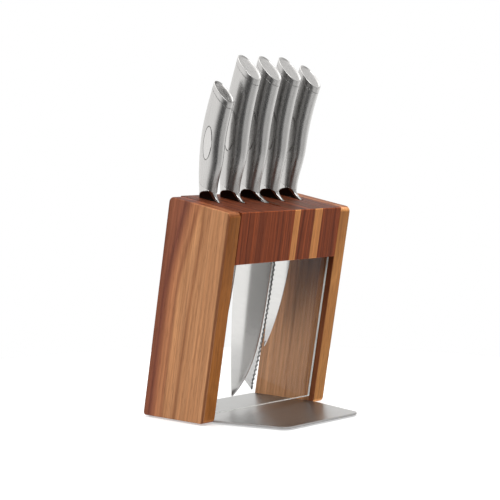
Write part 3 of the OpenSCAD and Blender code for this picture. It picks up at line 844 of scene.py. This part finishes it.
def build_knife(name):
    k = Knife(name)
    ring_n = 2 * (SIDE_POINTS + EDGE_POINTS)

    def forging_look(i, middle):
        if middle[2] > 0.3:
            in_rib = k.bolster_front(middle[2]) + middle[1] < RIB_W
            # Cove faces outside the rib take the near-black steel of painted shade.
            return 3 if not in_rib and k.cove_reach(-middle[1], middle[2]) < 0.97 else 1
        return 2 if SIDE_POINTS <= i % ring_n < SIDE_POINTS + 2 * EDGE_POINTS else 0

    looks = [blade_steel, bolster_steel, scallop_steel if name == "bread" else bevel_steel, cove_shade_steel]
    piece(
        f"{name}_forged_blade", *k.forging(), k.place, looks, k.body, [f"{name}_blade"], "blade_steel", 28,
        forging_look,
    )

    outer, inner = k.handle_shell()
    skin = BVHTree.FromPolygons(*[list(map(tuple, part)) for part in loft(outer, ends=False)])
    shell = piece(
        f"{name}_handle_shell", *loft(outer + inner, loop=True), k.place, [handle_steel], k.body,
        [f"{name}_handle"], "handle_steel", 40,
    )
    floor_x = -k.inlay_floor()
    pocket = loft([k.inlay_ring(1.0, x) for x in (floor_x, floor_x - 8)])
    carve(shell, [cutter(pocket, k.place)], 40)

    def on_skin(scale, sink):
        y, u = k.inlay_outline(scale)
        xs = [skin.ray_cast(Vector((-40, a, b)), Vector((1, 0, 0)))[0].x + sink for a, b in zip(y, u)]
        return np.stack([np.array(xs), y, u], 1)

    rings = [k.inlay_ring(0.955, floor_x - 0.01)]
    rings += [on_skin(scale, sink) for scale, sink in ((0.955, 0.3), (0.945, 0.08), (0.92, -0.02))]
    rings += [on_skin(scale, -0.03) for scale in (0.8, 0.6, 0.4, 0.2, 0.02)]
    disc = loft(rings)
    piece(f"{name}_oval_inlay", *disc, k.place, [inlay_steel], k.body, [f"{name}_inlay"], "inlay_steel")

    verts, faces = k.cap()
    face_start = CAP_FACE_ROW * RING_POINTS
    piece(
        f"{name}_butt_cap", verts, faces, k.place, [handle_steel, cap_steel], k.body, [f"{name}_end_cap"],
        "cap_steel", 40, lambda i, middle: 1 if i >= face_start and i != len(faces) - 2 else 0,
    )


for knife_name in KNIVES:
    build_knife(knife_name)

# ---- Floor, light and camera ----

FLOOR_R, FLOOR_T = 480, 6
disc = turned([(FLOOR_R, -FLOOR_T), (FLOOR_R, 0)], (0, 0, 0), 96)
floor = piece("floor", *disc, Matrix.Identity(4), [], None)
glowing = {"Emission Color": (1, 1, 1, 1), "Emission Strength": 0.42}
paper = Look("floor_paper", **{"Specular IOR Level": 0.1}, **glowing)
weave = paper.noise((60, 60, 60), detail=3)
paper.feed("Base Color", paper.ramp(weave, [(0.3, grey(0.63)), (0.7, grey(0.65))]))
paper.feed("Roughness", paper.span(weave, 0.3, 0.7, 0.85, 0.95))
floor.data.materials.append(paper.material)

# Angles from the front in degrees, brightness after a bounce, and the room's brightness by height.
DARK_AT, DARK_CORE, DARK_FADE = 74.0, 14.0, 40.0
FRONT_AT, FRONT_LEVEL = -10.0, 0.5
AFTER_BOUNCE = 0.42
ROOM_TOP, ROOM_POWER = 2.4, 1.32
ROOM_ROWS = [(-1.0, 0.85), (-0.2, 0.97), (0.5, 0.78), (0.72, 0.78), (0.86, 2.0), (1.0, 2.4)]


def studio_world():
    """A white room, brighter above and dimmer in front, with one dark soft-edged sector on the left.
    Light that has already bounced off a piece finds it dimmer, and the camera sees plain white."""
    world = bpy.data.worlds.new("studio")
    bpy.context.scene.world = world
    world.use_nodes = True
    tree = world.node_tree
    tree.nodes.clear()

    def node(kind, inputs=None, **settings):
        return add_node(tree, kind, inputs, **settings).outputs[0]

    ray = node("ShaderNodeTexCoord").node.outputs["Generated"]
    parts = node("ShaderNodeSeparateXYZ", {0: ray}).node.outputs
    level = node("ShaderNodeVectorMath", {0: ray, 1: (1, 1, 0)}, operation="MULTIPLY")
    level = node("ShaderNodeVectorMath", {0: level}, operation="NORMALIZE")
    aim = (-math.sin(DARK_AT * DEG), -math.cos(DARK_AT * DEG), 0)
    turn = node("ShaderNodeVectorMath", {0: level, 1: aim}, operation="DOT_PRODUCT").node.outputs["Value"]
    keys = {0: turn, 1: math.cos(DARK_FADE * DEG), 2: math.cos(DARK_CORE * DEG), 3: 0.0, 4: 0.93}
    dark = node("ShaderNodeMapRange", keys, interpolation_type="SMOOTHSTEP")
    high = node("ShaderNodeMath", {0: parts[2]}, operation="ABSOLUTE")
    keys = {0: high, 1: 0.55, 2: 0.85, 3: 1.0, 4: 0.0}
    dark = node("ShaderNodeMath", {0: dark, 1: node("ShaderNodeMapRange", keys)}, operation="MULTIPLY")
    open_share = node("ShaderNodeMath", {0: 1.0, 1: dark}, operation="SUBTRACT")
    rows = node("ShaderNodeValToRGB", {0: node("ShaderNodeMapRange", {0: parts[2], 1: -1.0, 2: 1.0})})
    steps = rows.node.color_ramp.elements
    while len(steps) < len(ROOM_ROWS):
        steps.new(0.5)
    for step, (height, value) in zip(steps, ROOM_ROWS):
        step.position, step.color = (height + 1) / 2, grey(value / ROOM_TOP)
    glow = node("ShaderNodeMath", {0: rows, 1: ROOM_TOP}, operation="MULTIPLY")
    ahead = (math.sin(FRONT_AT * DEG), -math.cos(FRONT_AT * DEG), 0)
    toward = node("ShaderNodeVectorMath", {0: level, 1: ahead}, operation="DOT_PRODUCT").node.outputs["Value"]
    keys = {0: toward, 1: 0.1, 2: 0.95, 3: 1.0, 4: FRONT_LEVEL}
    front = node("ShaderNodeMapRange", keys, interpolation_type="SMOOTHSTEP")
    glow = node("ShaderNodeMath", {0: glow, 1: front}, operation="MULTIPLY")
    power = node("ShaderNodeMath", {0: open_share, 1: glow}, operation="MULTIPLY")
    power = node("ShaderNodeMath", {0: power, 1: ROOM_POWER}, operation="MULTIPLY")
    path = node("ShaderNodeLightPath").node.outputs
    depths = {0: path["Ray Depth"], 1: path["Transmission Depth"]}
    turns = node("ShaderNodeMath", depths, operation="SUBTRACT")
    bounced = node("ShaderNodeMapRange", {0: turns, 1: 2.0, 2: 3.0, 3: 1.0, 4: AFTER_BOUNCE})
    power = node("ShaderNodeMath", {0: power, 1: bounced}, operation="MULTIPLY")
    room = node("ShaderNodeBackground", {"Color": (1, 0.995, 0.985, 1), "Strength": power})
    seen = node("ShaderNodeBackground", {"Color": (1, 1, 1, 1), "Strength": 1.0})
    gate = node("ShaderNodeMath", {0: turns, 1: 1.5}, operation="LESS_THAN")
    mixed = node("ShaderNodeMixShader", {0: gate, 1: room, 2: seen})
    tree.links.new(mixed, tree.nodes.new("ShaderNodeOutputWorld").inputs[0])


studio_world()


def soft_box(name, spot, aim, size, power):
    lamp = bpy.data.lights.new(name, "AREA")
    lamp.shape, lamp.size, lamp.size_y, lamp.energy = "RECTANGLE", size[0], size[1], power
    made = bpy.data.objects.new(name, lamp)
    bpy.context.scene.collection.objects.link(made)
    made.location = spot
    made.rotation_euler = (Vector(aim) - Vector(spot)).to_track_quat("-Z", "Y").to_euler()


soft_box("key", (-1.1, -1.2, 1.7), (0, 0, 0.15), (1.0, 1.0), 14)

AIM = Vector((0.0223, 0.0365, 0.158))
AZIMUTH, ELEVATION, DISTANCE = -48.03 * DEG, 4.25 * DEG, 1.5765
SENSOR, LENS = 36, 113.4
flat = math.cos(ELEVATION)
back_way = Vector((math.sin(AZIMUTH) * flat, -math.cos(AZIMUTH) * flat, math.sin(ELEVATION)))
camera_data = bpy.data.cameras.new("camera")
camera_data.sensor_width = SENSOR
camera_data.lens = LENS
camera = bpy.data.objects.new("camera", camera_data)
bpy.context.scene.collection.objects.link(camera)
camera.location = AIM + back_way * DISTANCE
camera.rotation_euler = (-back_way).to_track_quat("-Z", "Y").to_euler()
bpy.context.scene.camera = camera
bpy.context.scene.view_settings.view_transform = "Standard"
